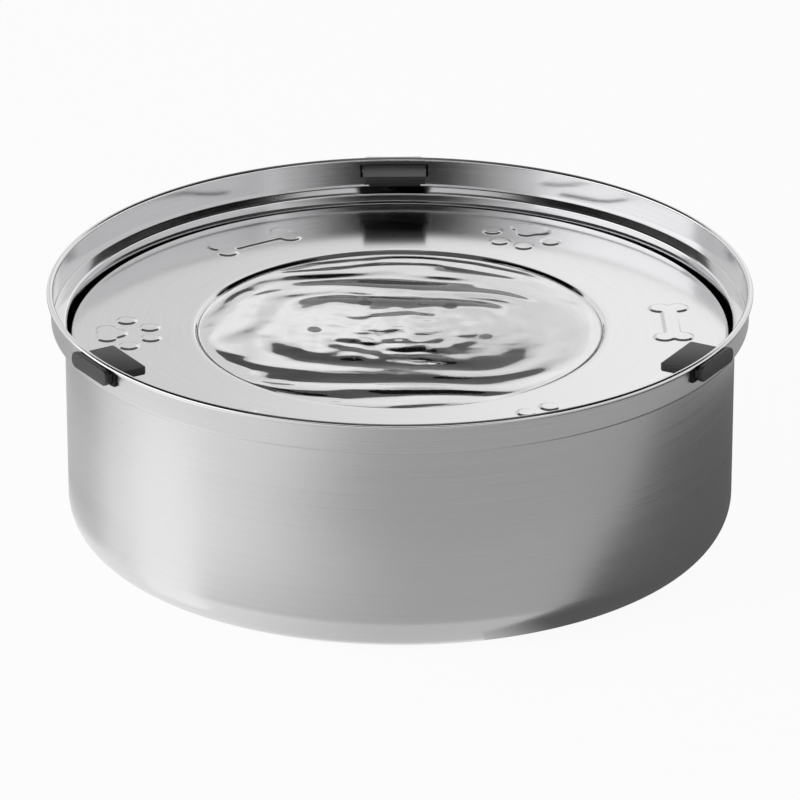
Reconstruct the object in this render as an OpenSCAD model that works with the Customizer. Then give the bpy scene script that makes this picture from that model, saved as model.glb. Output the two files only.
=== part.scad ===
// No-spill water bowl: a drawn steel bowl, a steel drinking disk that floats on the water,
// and three slide latches in the collar that keep the disk in.
// Millimetres, +Z up, origin on the floor at the centre of the base.

/* [Bowl] */
// Outside diameter over the rolled rim
rim_d = 270; // [240:1:330]
// Height from the floor to the top of the rim
bowl_h = 99; // [80:1:140]
// Thickness of the drawn steel sheet
shell_t = 0.8; // [0.6:0.1:1]
// Radius of the rolled bead on the rim
bead_r = 1.2; // [1.2:0.1:2]
// Depth of the collar, from the top of the rim to its lower outer corner
collar_h = 12.6; // [11:0.1:20]
// Radius of the collar's lower outer corner
collar_corner_r = 1.8; // [1.2:0.1:3]
// Width of the ledge between the collar and the side wall, measured outside
ledge_w = 5.2; // [4:0.1:8]
// Radius of the bend where the ledge turns down into the side wall
ledge_bend_r = 0.8; // [0.4:0.1:1.5]
// How much smaller the side wall's radius is at its foot than under the ledge
wall_draft = 0.8; // [0:0.1:1.4]
// Radius of the corner between the side wall and the base
base_corner_r = 16; // [10:1:24]

/* [Base pad] */
// Width of the steel ring that the bowl stands on, between the recess and the base corner
foot_w = 15.1; // [6:0.1:40]
// Thickness of the pad
pad_t = 1.6; // [1.2:0.1:3]
// How far the pad stands out below the steel
pad_proud = 0.6; // [0.4:0.1:1]
// Gap between the pad's edge and the edge of the recess that it is bonded in
pad_gap = 0.3; // [0.1:0.1:1]
// Number of grip grooves in the pad
pad_grooves = 5; // [2:1:7]
// Width of one grip groove
groove_w = 2; // [1:0.5:4]
// Depth of one grip groove
groove_deep = 0.5; // [0.3:0.1:0.8]

/* [Floating disk] */
// Radial gap between the disk and the side wall
disk_gap = 1.5; // [1.2:0.1:3]
// Depth of the disk's top face below the rim, when the bowl is full
disk_drop = 16.8; // [15:0.1:22]
// Thickness of the disk's steel sheet
disk_t = 0.6; // [0.5:0.1:0.8]
// Radius of the disk's rounded outer edge
disk_edge_r = 2; // [1.4:0.1:3]
// Height of the skirt that is turned down round the disk
skirt_h = 6; // [5:0.5:10]
// Width of the hem that is folded in under the float
hem_w = 2.4; // [1.8:0.1:4]

/* [Drinking dish] */
// Width of the flat band round the dish, from the disk's edge to the dish's lip
band_w = 46.9; // [44:0.1:60]
// Depth of the short step round the dish
dish_step = 1.2; // [0.8:0.1:2]
// Width of that step
step_w = 2; // [1.6:0.1:4]
// Depth of the dish at its centre
dish_deep = 5; // [3:0.1:6]
// Number of water holes
holes = 6; // [3:1:12]
// Diameter of one water hole
hole_d = 5.5; // [3:0.1:7]
// Radius of the circle that the water holes lie on
hole_ring_r = 33; // [15:1:50]
// Direction of the first water hole
hole_az = 54; // [0:1:59]

/* [Stamped figures] */
// Distance of the ring of bones and paws from the disk's edge
motif_in = 21.9; // [20:0.1:26]
// Direction of the first bone
motif_az = 3; // [0:1:59]
// Height of the stamping
emboss_h = 0.6; // [0.4:0.1:1]
// How much a stamped edge leans in over its height
emboss_lean = 0.5; // [0.2:0.1:0.8]
// Length of a bone
bone_l = 37; // [30:0.5:42]
// Radius of a bone's knuckles
knuckle_r = 4.1; // [3:0.1:4.5]
// Distance of a knuckle's centre from the bone's middle line
knuckle_off = 3.5; // [2.8:0.1:4]
// Width of a bone's shank
shank_w = 6.2; // [4:0.1:8]
// Radius of the lobes of a paw's main pad
heel_r = 3.9; // [3:0.1:4.2]
// Radius of the mound in the middle of that pad
mound_r = 5.2; // [4.6:0.1:5.6]
// Radius of a paw's toes
toe_r = 3.8; // [2.5:0.1:4.2]

/* [Float] */
// Width of the float tray
float_w = 39.3; // [30:0.1:39.3]
// Depth of the float below the disk's top face
float_deep = 14; // [11:0.5:22]
// Wall thickness of the float
float_t = 1.2; // [1:0.1:2]
// Radius of the float's lower corners
float_corner_r = 5; // [3:0.5:8]
// Running gap between the float's parts and the steel round them
float_gap = 0.2; // [0.1:0.05:0.4]
// Number of ribs inside the float tray
float_ribs = 6; // [3:1:12]
// How far a rib's edge stays below the float cover
rib_drop = 0.4; // [0.2:0.1:2]

/* [Latches] */
// Direction of the back latch
latch_az = 91; // [60:1:120]
// Width of a tongue
tongue_w = 24.5; // [16:0.5:30]
// Thickness of a tongue
tongue_t = 3.2; // [2.6:0.1:4]
// How far a tongue reaches in over the disk
tongue_over = 7.2; // [5:0.1:8]
// Radius of a tongue's inner corners
tongue_corner_r = 1.6; // [0.8:0.1:3]
// Radius of the soft edge along a tongue's tip
tongue_edge_r = 1; // [0.4:0.1:1.4]
// Clearance between a tongue and what it slides in
slide_gap = 0.2; // [0.1:0.05:0.3]
// How far a latch slides out
latch_travel = 9.3; // [8.5:0.1:10]
// Height of the stop rib under a tongue
stop_h = 1; // [0.6:0.1:1.4]
// Thickness of that rib, across the bowl's wall
stop_t = 2; // [1.2:0.1:2.4]
// Length of the grip bar
grip_l = 25.4; // [20:0.1:34]
// Height of the grip bar
grip_h = 6.4; // [5:0.1:8]
// Thickness of the grip bar
grip_t = 2; // [1.8:0.1:4]
// Radius of the grip bar's corners, seen from outside
grip_corner_r = 1.6; // [0.8:0.1:2.4]
// Radius of the grip bar's outer edges
grip_edge_r = 0.6; // [0.3:0.1:1]
// Shoulder of a tongue beside its tenon
tenon_side = 2.2; // [1:0.1:4]
// Shoulder of a tongue above and below its tenon
tenon_step = 0.4; // [0.3:0.1:0.8]
// Thickness of the grip bar that is left outside the tenon
mortise_floor = 0.6; // [0.4:0.1:1]
// Clearance round the tenon
tenon_gap = 0.1; // [0.05:0.05:0.2]
// Width of the guide's outer flange
guide_w = 32; // [30:0.5:40]
// Thickness of the guide's outer flange
guide_t = 1.2; // [0.8:0.1:2]
// Wall of the guide inside the slot
guide_wall = 0.6; // [0.5:0.1:1]
// How far the flange reaches below the slot
guide_sill = 0.8; // [0.4:0.1:1.6]
// Thickness of the guide's snap lip behind the collar
lip_t = 0.7; // [0.5:0.1:1]
// How far that lip reaches past the slot
lip_w = 0.7; // [0.4:0.1:1.2]

/* [Hidden] */

// The three latches, by turns round the collar
BACK = 0;
LEFT = 1;
RIGHT = 2;
latches = 3;

// Cuts reach this far past the face that they open
past = 1;

// Sides of the large turned shapes, of small round ones and of the stamped bosses
turned_fn = 180;
small_fn = 32;
boss_fn = 40;

// Bowl: radii of its surfaces and the levels along its side
rim_r = rim_d / 2;
collar_r = rim_r - 2 * bead_r + shell_t;
collar_in_r = collar_r - shell_t;
body_top_r = collar_r - ledge_w;
body_in_r = body_top_r - shell_t;
base_z = pad_proud;
ledge_z = bowl_h - collar_h;
// The rim's sheet rolls outwards and down to this angle round the bead's centre
bead_end_a = -95;
draft_a = atan(wall_draft / (ledge_z - base_z - base_corner_r));
// Centre of the base corner's arc, which the leaning side wall touches
base_arc = [body_top_r - (ledge_z - base_z - base_corner_r) * tan(draft_a)
            - base_corner_r / cos(draft_a), base_z + base_corner_r];

// Base recess that the pad is bonded in
seat_h = pad_t - pad_proud;
seat_r = base_arc[0] - foot_w - seat_h;
pad_r = seat_r - pad_gap;

// Disk
disk_r = body_in_r - disk_gap;
disk_z = bowl_h - disk_drop;
disk_low_z = disk_z - skirt_h;
hem_r = 1;
dish_r = disk_r - band_w;
dish_floor_r = dish_r - step_w;

// Figures: bones and paws by turns, and a paw's pads from its middle, with X pointing outwards
figure_pairs = 3;
motif_r = disk_r - motif_in;
heel_at = [8.2, 4.2];
apex_at = [4.4, 0];
mound_at = [7, 0];
outer_toe_at = [0.2, 12.6];
inner_toe_at = [-8.4, 5.2];

// Float, seated against the disk's underside and on its hem
cover_top_z = disk_z - disk_t;
cover_low_z = cover_top_z - float_t;
cover_r = disk_r - disk_t - float_gap;
hem_top_z = disk_low_z + disk_t + float_gap;
flange_in_r = disk_r - hem_w + float_gap;
tray_r = disk_r - hem_w - float_gap;
tray_in_r = tray_r - float_w;
tray_z = disk_z - float_deep;

// Latch levels, hung from the bead
bead_low_z = bowl_h - 2 * bead_r;
tongue_top_z = bead_low_z - slide_gap;
tongue_mid_z = tongue_top_z - tongue_t / 2;
tongue_low_z = tongue_top_z - tongue_t;
pass_w = tongue_w + 2 * slide_gap;
pass_low_z = tongue_low_z - slide_gap;
slot_w = pass_w + 2 * guide_wall;
slot_low_z = pass_low_z - guide_wall;
slot_corner_r = 0.5;
slot_h = bead_low_z - slot_low_z;
guide_low_z = slot_low_z - guide_sill;
guide_corner_r = 1.2;
guide_top_z = bead_low_z - tenon_gap;
lip_in_r = collar_in_r - lip_t;
// The tongue's flat outer end and the grip bar's back lie just outside the bead
tongue_in_r = disk_r - tongue_over;
grip_in_r = rim_r + slide_gap;
tenon_w = tongue_w - 2 * tenon_side;
tenon_t = tongue_t - 2 * tenon_step;
tenon_l = grip_t - mortise_floor - tenon_gap;
// Slid out, the ends of the straight stop rib come up to the guide's curved lip
stop_out_r = lip_in_r - chord_depth(lip_in_r, tenon_w) - latch_travel - slide_gap;

// Outline helpers
function arc(c, r, from, to, steps) =
    [for (i = [0:steps]) let (a = from + (to - from) * i / steps) c + r * [cos(a), sin(a)]];

function unit(v) = v / norm(v);

function to_left(v) = [-v[1], v[0]];

// How far a chord of width w cuts into a circle of radius r
function chord_depth(r, w) = r - sqrt(r * r - w * w / 4);

// The line that runs beside a path at the distance d, on its left
function beside(path, d) =
    [for (i = [0:len(path) - 1])
        let (ahead = unit(path[min(i + 1, len(path) - 1)] - path[min(i, len(path) - 2)]),
             behind = unit(path[max(i, 1)] - path[max(i - 1, 0)]),
             m = to_left(ahead) + to_left(behind))
        path[i] + d * 2 * m / (m * m)];

// A point beside the axis, put on the axis where the path's own point is on it
function closed_at_axis(p, on_path) = on_path[0] == 0 ? [0, p[1]] : p;

// Sheet metal spun round the axis: path is one face of it, and the sheet lies on its left
module spun_sheet(path, t) {
    far = beside(path, t);
    back = [for (i = [len(path) - 1:-1:0]) closed_at_axis(far[i], path[i])];
    rotate_extrude($fn = turned_fn) polygon(concat(path, back));
}

// Rectangle with round corners, centred
module rounded(w, h, r) {
    square([w - 2 * r, h], center = true);
    square([w, h - 2 * r], center = true);
    for (x = [-1, 1], y = [-1, 1])
        translate([x * (w / 2 - r), y * (h / 2 - r)]) circle(r, $fn = small_fn);
}

// Bowl shell: one drawn sheet from the base recess to the rolled bead
shell_path = concat(
    [[0, base_z + seat_h], [seat_r, base_z + seat_h], [seat_r + seat_h, base_z]],
    arc(base_arc, base_corner_r, -90, -draft_a, 14),
    arc([body_top_r + ledge_bend_r, ledge_z - ledge_bend_r], ledge_bend_r, 180, 90, 4),
    arc([collar_r - collar_corner_r, ledge_z + collar_corner_r], collar_corner_r, -90, 0, 6),
    arc([rim_r - bead_r, bowl_h - bead_r], bead_r - shell_t, 180, bead_end_a, 14));

module bowl_shell() {
    color("gainsboro")
    difference() {
        spun_sheet(shell_path, shell_t);
        for (i = [0:latches - 1]) at_latch(i) collar_slot();
    }
}

// Slot through the collar, right under the bead
module collar_slot() {
    start_r = collar_in_r - chord_depth(collar_in_r, slot_w) - past;
    translate([start_r, 0, slot_low_z + slot_h / 2])
        rotate([90, 0, 90]) linear_extrude(collar_r + past - start_r) rounded(slot_w, slot_h, slot_corner_r);
}

// Base pad: silicone, bonded in the recess, with ring grooves for grip
module base_pad() {
    groove_step = pad_r / (pad_grooves + 1);
    color("dimgray")
    difference() {
        cylinder(h = pad_t, r = pad_r, $fn = turned_fn);
        for (i = [1:pad_grooves]) translate([0, 0, -past])
            ring(i * groove_step - groove_w / 2, i * groove_step + groove_w / 2, groove_deep + past);
    }
}

module ring(r_in, r_out, h) {
    difference() {
        cylinder(h = h, r = r_out, $fn = turned_fn);
        translate([0, 0, -past]) cylinder(h = h + 2 * past, r = r_in, $fn = turned_fn);
    }
}

// Disk: hem, skirt, rounded edge, flat rim, dish lip and step, then a shallow dish
function dish_level(r) = dish_step + (dish_deep - dish_step) * (1 + cos(180 * r / dish_floor_r)) / 2;

function step_level(r) = dish_step * (1 - cos(180 * (dish_r - r) / step_w)) / 2;

// The flat rim and the dish meet here, in one sheet
seam_r = dish_r + step_w;

rim_path = concat(
    [[disk_r - hem_w, disk_low_z]],
    arc([disk_r - hem_r, disk_low_z + hem_r], hem_r, -90, 0, 5),
    arc([disk_r - disk_edge_r, disk_z - disk_edge_r], disk_edge_r, 0, 90, 8),
    [[seam_r, disk_z]]);

dish_path = concat(
    [[seam_r, disk_z]],
    [for (i = [0:8]) let (r = dish_r - step_w * i / 8) [r, disk_z - step_level(r)]],
    [for (i = [1:20]) let (r = dish_floor_r * (1 - i / 20)) [r, disk_z - dish_level(r)]]);

module disk_plate() {
    color("lightgray")
    union() {
        disk_rim();
        disk_dish();
    }
}

module disk_rim() {
    difference() {
        union() {
            spun_sheet(rim_path, disk_t);
            translate([0, 0, disk_z]) figures(0);
        }
        translate([0, 0, disk_z - disk_t]) figures(emboss_lean);
    }
}

module disk_dish() {
    difference() {
        spun_sheet(dish_path, disk_t);
        for (i = [0:holes - 1])
            rotate(hole_az + 360 / holes * i) translate([hole_ring_r, 0, disk_z - dish_deep - 2 * past])
                cylinder(h = dish_deep + 2 * past, d = hole_d, $fn = small_fn);
    }
}

// Bones and paws by turns round the disk; inset draws the hollow under each of them
module figures(inset) {
    turn = 180 / figure_pairs;
    for (i = [0:figure_pairs - 1]) {
        rotate(motif_az + 2 * i * turn) translate([motif_r, 0, 0]) bone(inset);
        rotate(motif_az + (2 * i + 1) * turn) translate([motif_r, 0, 0]) paw(inset);
    }
}

// A stamped round boss, rooted in the sheet below it
module boss(p, r) {
    root = emboss_h / 2;
    lean = emboss_lean / emboss_h;
    translate([p[0], p[1], -root])
        cylinder(h = emboss_h + root, r1 = r + root * lean, r2 = r - emboss_lean, $fn = boss_fn);
}

module bone(inset) {
    root = emboss_h / 2;
    lean = emboss_lean / emboss_h;
    knuckle_y = bone_l / 2 - knuckle_r;
    half_w = shank_w / 2 - inset;
    for (x = [-1, 1], y = [-1, 1]) boss([x * knuckle_off, y * knuckle_y], knuckle_r - inset);
    rotate([90, 0, 0]) translate([0, 0, -knuckle_y]) linear_extrude(2 * knuckle_y)
        polygon([[-half_w - root * lean, -root], [half_w + root * lean, -root],
                 [half_w - emboss_lean, emboss_h], [emboss_lean - half_w, emboss_h]]);
}

// The main pad is two heel lobes, an apex and the mound between them; four toes face the dish
module paw(inset) {
    for (side = [-1, 1]) {
        boss([heel_at[0], heel_at[1] * side], heel_r - inset);
        boss([outer_toe_at[0], outer_toe_at[1] * side], toe_r - inset);
        boss([inner_toe_at[0], inner_toe_at[1] * side], toe_r - inset);
    }
    boss(apex_at, heel_r - inset);
    boss(mound_at, mound_r - inset);
}

// Float cover: the ring that lies against the disk, with a flange standing on the hem
module float_cover() {
    corner = disk_edge_r;
    color("whitesmoke")
    rotate_extrude($fn = turned_fn) polygon([
        [tray_in_r, cover_low_z], [tray_in_r, cover_top_z],
        [cover_r - corner, cover_top_z], [cover_r, cover_top_z - corner],
        [cover_r, hem_top_z], [flange_in_r, hem_top_z], [flange_in_r, cover_low_z]]);
}

// Float tray: a channel closed by the cover, with ribs across it
tray_path = concat(
    [[tray_in_r, cover_low_z]],
    arc([tray_in_r + float_corner_r, tray_z + float_corner_r], float_corner_r, 180, 270, 8),
    arc([tray_r - float_corner_r, tray_z + float_corner_r], float_corner_r, -90, 0, 8),
    [[tray_r, cover_low_z]]);

module float_tray() {
    color("white")
    union() {
        spun_sheet(tray_path, float_t);
        for (i = [0:float_ribs - 1])
            rotate(360 / float_ribs * i + hole_az) tray_rib();
    }
}

// Rib across the tray, a little lower than its walls; its edge runs in the middle of the tray's wall
module tray_rib() {
    mid = float_t / 2;
    bend = float_corner_r - mid;
    low_z = tray_z + float_corner_r;
    translate([0, mid, 0]) rotate([90, 0, 0]) linear_extrude(float_t)
        polygon(concat(
            [[tray_in_r + mid, cover_low_z - rib_drop]],
            arc([tray_in_r + float_corner_r, low_z], bend, 180, 270, 8),
            arc([tray_r - float_corner_r, low_z], bend, -90, 0, 8),
            [[tray_r - mid, cover_low_z - rib_drop]]));
}

// Latches: +X of each latch points out of the bowl
module at_latch(i) {
    rotate(latch_az + 360 / latches * i) children();
}

// Tongue: its plan and its side view cut each other, then the stop rib and the tenon are added
module tongue() {
    l = grip_in_r - tongue_in_r;
    color([0.13, 0.13, 0.14]) {
        intersection() {
            translate([0, 0, tongue_low_z - past]) linear_extrude(tongue_t + 2 * past)
                translate([tongue_in_r + l, 0]) rounded_tip(l, tongue_w, tongue_corner_r);
            translate([0, tongue_w, 0]) rotate([90, 0, 0]) linear_extrude(2 * tongue_w)
                translate([tongue_in_r + l, tongue_mid_z]) rounded_tip(l, tongue_t, tongue_edge_r);
        }
        translate([stop_out_r - stop_t, -tenon_w / 2, tongue_low_z - stop_h])
            cube([stop_t, tenon_w, stop_h]);
        translate([grip_in_r, -tenon_w / 2, tongue_mid_z - tenon_t / 2])
            cube([tenon_l, tenon_w, tenon_t]);
    }
}

// Outline of length l that ends square at x = 0 and has round corners at its far end
module rounded_tip(l, w, r) {
    translate([-l + r, -w / 2]) square([l - r, w]);
    translate([-l, -w / 2 + r]) square([l, w - 2 * r]);
    for (y = [-1, 1]) translate([-l + r, y * (w / 2 - r)]) circle(r, $fn = small_fn);
}

// Grip bar: three rounded outlines cut each other, and a mortise takes the tenon
module grip() {
    color([0.2, 0.2, 0.21])
    difference() {
        translate([grip_in_r, 0, tongue_mid_z]) intersection() {
            rotate([90, 0, 90]) linear_extrude(grip_t) rounded(grip_l, grip_h, grip_corner_r);
            translate([0, 0, -grip_h]) linear_extrude(2 * grip_h)
                rotate(180) rounded_tip(grip_t, grip_l, grip_edge_r);
            translate([0, grip_l, 0]) rotate([90, 0, 0]) linear_extrude(2 * grip_l)
                rotate(180) rounded_tip(grip_t, grip_h, grip_edge_r);
        }
        translate([grip_in_r - past, -tenon_w / 2 - tenon_gap, tongue_mid_z - tenon_t / 2 - tenon_gap])
            cube([tenon_l + tenon_gap + past, tenon_w + 2 * tenon_gap, tenon_t + 2 * tenon_gap]);
    }
}

// Guide: an open-topped frame that lines the slot, with a flange outside and a lip inside
module guide() {
    start_r = lip_in_r - chord_depth(lip_in_r, slot_w + 2 * lip_w) - past;
    color([0.1, 0.1, 0.1])
    difference() {
        union() {
            arched_plate(collar_r, collar_r + guide_t, guide_w, guide_low_z, guide_corner_r);
            arched_plate(lip_in_r, collar_in_r, slot_w + 2 * lip_w, slot_low_z - lip_w, slot_corner_r);
            arched_plate(lip_in_r, collar_r + guide_t, slot_w, slot_low_z, slot_corner_r);
        }
        translate([start_r, -pass_w / 2, pass_low_z])
            cube([collar_r + guide_t + past - start_r, pass_w, guide_top_z + past - pass_low_z]);
    }
}

// Plate that follows the collar, from its low edge up to the bead
module arched_plate(r_in, r_out, w, low_z, corner) {
    h = guide_top_z - low_z;
    intersection() {
        translate([0, 0, low_z - past]) ring(r_in, r_out, h + 2 * past);
        translate([0, 0, low_z + h / 2]) rotate([90, 0, 90]) linear_extrude(r_out + past)
            rounded(w, h, corner);
    }
}

bowl_shell();
base_pad();
disk_plate();
float_cover();
float_tray();
at_latch(BACK) tongue();  // back_latch_tongue
at_latch(LEFT) tongue();  // left_latch_tongue
at_latch(RIGHT) tongue();  // right_latch_tongue
at_latch(BACK) grip();  // back_latch_grip
at_latch(LEFT) grip();  // left_latch_grip
at_latch(RIGHT) grip();  // right_latch_grip
at_latch(BACK) guide();  // back_latch_guide
at_latch(LEFT) guide();  // left_latch_guide
at_latch(RIGHT) guide();  // right_latch_guide
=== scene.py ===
# No-spill water bowl: steel, plastic and water finishes, and the studio that the bowl stands in

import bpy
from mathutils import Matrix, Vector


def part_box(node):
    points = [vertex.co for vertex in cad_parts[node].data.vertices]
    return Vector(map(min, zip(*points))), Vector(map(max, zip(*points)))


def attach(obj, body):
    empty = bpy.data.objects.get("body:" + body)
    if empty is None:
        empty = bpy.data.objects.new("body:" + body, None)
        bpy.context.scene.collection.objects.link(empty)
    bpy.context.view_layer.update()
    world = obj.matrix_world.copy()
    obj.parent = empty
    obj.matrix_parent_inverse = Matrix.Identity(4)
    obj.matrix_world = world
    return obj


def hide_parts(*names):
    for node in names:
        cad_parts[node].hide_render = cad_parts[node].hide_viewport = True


bl_info = {
    "name": "No-spill water bowl",
    "version": (1, 0, 0),
    "blender": (4, 5, 0),
    "location": "View3D > Sidebar > Water bowl",
    "description": "Dresses the model of a no-spill water bowl and sets up its studio",
    "category": "Object",
}

from math import atan, atan2, cos, degrees, hypot, pi, radians, sin, tan

import bmesh
import bpy
from bpy.props import FloatProperty, FloatVectorProperty, IntProperty, PointerProperty
from mathutils import Vector, noise

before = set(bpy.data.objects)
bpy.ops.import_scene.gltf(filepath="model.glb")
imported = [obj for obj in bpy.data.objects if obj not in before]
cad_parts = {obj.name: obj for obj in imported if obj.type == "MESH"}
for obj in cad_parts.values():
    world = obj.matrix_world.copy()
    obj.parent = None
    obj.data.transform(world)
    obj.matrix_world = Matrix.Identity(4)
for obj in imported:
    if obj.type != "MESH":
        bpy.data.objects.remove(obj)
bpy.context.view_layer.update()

# Everything here is in metres; a size in millimetres is written as a multiple of this
MM = 0.001
# Sizes that differ by less than this count as equal
SLACK = 0.001 * MM

SHELL_LOW, SHELL_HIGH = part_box("bowl_shell")
DISK_LOW, DISK_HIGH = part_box("disk_plate")
LATCH_SIDES = ("back", "left", "right")


# Sizes and colours

def hex_colour(text):
    """An sRGB hex value as the linear colour that a shader takes."""
    channels = (int(text[i:i + 2], 16) / 255 for i in (0, 2, 4))
    return tuple(c / 12.92 if c <= 0.04045 else ((c + 0.055) / 1.055) ** 2.4 for c in channels)


def length_prop(name, description, default):
    return FloatProperty(name=name, description=description, default=default, unit="LENGTH", precision=5)


def angle_prop(name, description, default):
    """An angle, whose default is given in degrees."""
    return FloatProperty(name=name, description=description, default=radians(default), unit="ROTATION")


def count_prop(name, description, default, least):
    return IntProperty(name=name, description=description, default=default, min=least)


def colour_prop(name, description, hex_text):
    return FloatVectorProperty(name=name, description=description, default=hex_colour(hex_text),
                               subtype="COLOR", size=3, min=0, max=1)


class BowlSizes(bpy.types.PropertyGroup):
    """Sizes of the bowl shell, as its steel is drawn."""
    rim_r: length_prop("Rim radius", "Outside radius over the rolled bead", SHELL_HIGH.x)
    height: length_prop("Height", "Height of the rim above the floor", SHELL_HIGH.z)
    base_z: length_prop("Underside", "Height of the steel's underside above the floor", SHELL_LOW.z)
    sheet: length_prop("Sheet", "Thickness of the drawn sheet", 0.8 * MM)
    bead_r: length_prop("Bead radius", "Radius of the rolled bead", 1.2 * MM)
    collar_h: length_prop("Collar depth", "From the rim to the collar's lower outer corner", 12.6 * MM)
    collar_corner_r: length_prop("Collar corner", "Radius of that corner", 1.2 * MM)
    ledge_w: length_prop("Ledge", "Width of the ledge between the collar and the side wall", 5.2 * MM)
    ledge_bend_r: length_prop("Ledge bend", "Radius where the ledge turns down", 0.4 * MM)
    ledge_fall: length_prop("Ledge fall", "How much the ledge falls towards the side wall", 0.5 * MM)
    draft: length_prop("Draft", "How much the side wall draws in towards its foot", 0.8 * MM)
    corner_r: length_prop("Base corner", "Radius between the side wall and the base", 16 * MM)
    recess_r: length_prop("Recess radius", "Radius of the recess that the pad is bonded in", 95.3 * MM)
    recess_h: length_prop("Recess depth", "Depth of that recess", 1 * MM)
    slot_w: length_prop("Slot width", "Width of a latch slot in the collar", 26.1 * MM)
    slot_low: length_prop("Slot sill", "Height of a slot's lower edge", 92.4 * MM)
    slot_high: length_prop("Slot head", "Height of a slot's upper edge, right under the bead", 96.6 * MM)
    latch_az: angle_prop("Back latch", "Direction of the back latch", 91)
    spokes: count_prop("Spokes", "Points round the shell's mesh", 480, 60)


class DiskSizes(bpy.types.PropertyGroup):
    """Sizes of the floating disk, its stamping and the water on it."""
    disk_r: length_prop("Disk radius", "Outside radius of the disk", DISK_HIGH.x)
    emboss_h: length_prop("Stamping", "Height of the plain CAD figures over the flat band", 0.6 * MM)
    emboss_edge: length_prop("Stamped edge", "Width over which a stamped edge rises", 0.9 * MM)
    figure_h: length_prop("Figure height", "Height of the rounded figures over the band", 0.42 * MM)
    sheet: length_prop("Sheet", "Thickness of the stamped sheet", 0.6 * MM)
    edge_r: length_prop("Edge radius", "Radius of the rolled-down edge", 1.4 * MM)
    hem_w: length_prop("Hem", "Width of the hem under the float", 2.4 * MM)
    hem_r: length_prop("Hem radius", "Radius where the skirt turns into the hem", 1 * MM)
    dish_r: length_prop("Dish radius", "Radius of the dish at its lip", 79 * MM)
    step_h: length_prop("Step", "Depth of the short step round the dish", 1.2 * MM)
    step_w: length_prop("Step width", "Width of that step", 2 * MM)
    dish_deep: length_prop("Dish depth", "Depth of the dish at its centre", 5 * MM)
    holes: count_prop("Holes", "Number of water holes", 6, 1)
    hole_r: length_prop("Hole radius", "Radius of a water hole", 2.75 * MM)
    hole_ring_r: length_prop("Hole ring", "Radius of the circle of water holes", 33 * MM)
    hole_az: angle_prop("First hole", "Direction of the first water hole", 54)
    motif_r: length_prop("Figure ring", "Radius of the circle of bones and paws", 104 * MM)
    motif_az: angle_prop("First bone", "Direction of the first bone", 3)
    water_deep: length_prop("Water level", "Depth of the water's surface below the disk's top", 0.95 * MM)
    ripple_h: length_prop("Ripples", "Height of the ripples", 0.31 * MM)
    ripple_l: length_prop("Ripple length", "Distance from crest to crest", 15 * MM)


class LatchSizes(bpy.types.PropertyGroup):
    """Sizes of the slide latches' bars and guides outside the collar."""
    bar_l: length_prop("Bar length", "Length of the grip bar", 26 * MM)
    bar_t: length_prop("Bar thickness", "Thickness of the grip bar", 2 * MM)
    bar_corner_r: length_prop("Bar corner", "Radius of the bar's corners, seen from outside", 2.9 * MM)
    bar_edge_r: length_prop("Bar edge", "Radius of the bar's outer edges", 0.6 * MM)
    bar_gap: length_prop("Bar gap", "Gap between the rim and the bar's back", 0.2 * MM)
    flange_w: length_prop("Flange width", "Width of the guide's flange outside the collar", 28.4 * MM)
    flange_from: length_prop("Flange start", "Half the width of what the flange surrounds", 12.6 * MM)
    lip_to: length_prop("Lip end", "Half the width that the guide's lip keeps inside the collar", 13.3 * MM)


class BowlColours(bpy.types.PropertyGroup):
    """Colours of the finishes."""
    drawn_steel: colour_prop("Drawn steel", "Brushed outside of the bowl", "cfcfd0")
    bright_steel: colour_prop("Bright steel", "Inside of the collar and the disk", "d8d8d9")
    black_abs: colour_prop("Black ABS", "Tongues and grips", "29292b")
    black_acetal: colour_prop("Black acetal", "Guides", "141415")
    white_pp: colour_prop("White polypropylene", "Float", "ececea")
    grey_silicone: colour_prop("Silicone", "Base pad", "3a3a3c")


# Profiles: lists of (radius, height), each one face of a sheet that lies on its left

def arc(centre, r, start, end, steps):
    """Points on an arc, from one angle in degrees to the other."""
    angles = [radians(start + (end - start) * i / steps) for i in range(steps + 1)]
    return [(centre[0] + r * cos(a), centre[1] + r * sin(a)) for a in angles]


def beside(path, distance):
    """The line that runs beside a path, on its left; a point on the axis stays on it."""
    line = []
    for i, (r, z) in enumerate(path):
        normals = []
        for a, b in ((max(i - 1, 0), max(i, 1)), (min(i, len(path) - 2), min(i + 1, len(path) - 1))):
            dr, dz = path[b][0] - path[a][0], path[b][1] - path[a][1]
            span = hypot(dr, dz)
            normals.append((-dz / span, dr / span))
        mr, mz = normals[0][0] + normals[1][0], normals[0][1] + normals[1][1]
        scale = 2 * distance / (mr * mr + mz * mz)
        line.append((0 if r == 0 else r + mr * scale, z + mz * scale))
    return line


def supported(path, near, step):
    """The path with points near the ends of each long stretch, so that shading stays flat between."""
    line = [path[0]]
    for a, b in zip(path, path[1:]):
        span = hypot(b[0] - a[0], b[1] - a[1])
        if span > 4 * near:
            inner = max(1, round((span - 2 * near) / step))
            stops = [near] + [near + (span - 2 * near) * i / inner for i in range(1, inner)] + [span - near]
            line += [(a[0] + (b[0] - a[0]) * s / span, a[1] + (b[1] - a[1]) * s / span) for s in stops]
        line.append(b)
    return line


def collar_radius(s):
    """Outside radius of the collar, under the bead."""
    return s.rim_r - 2 * s.bead_r + s.sheet


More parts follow.
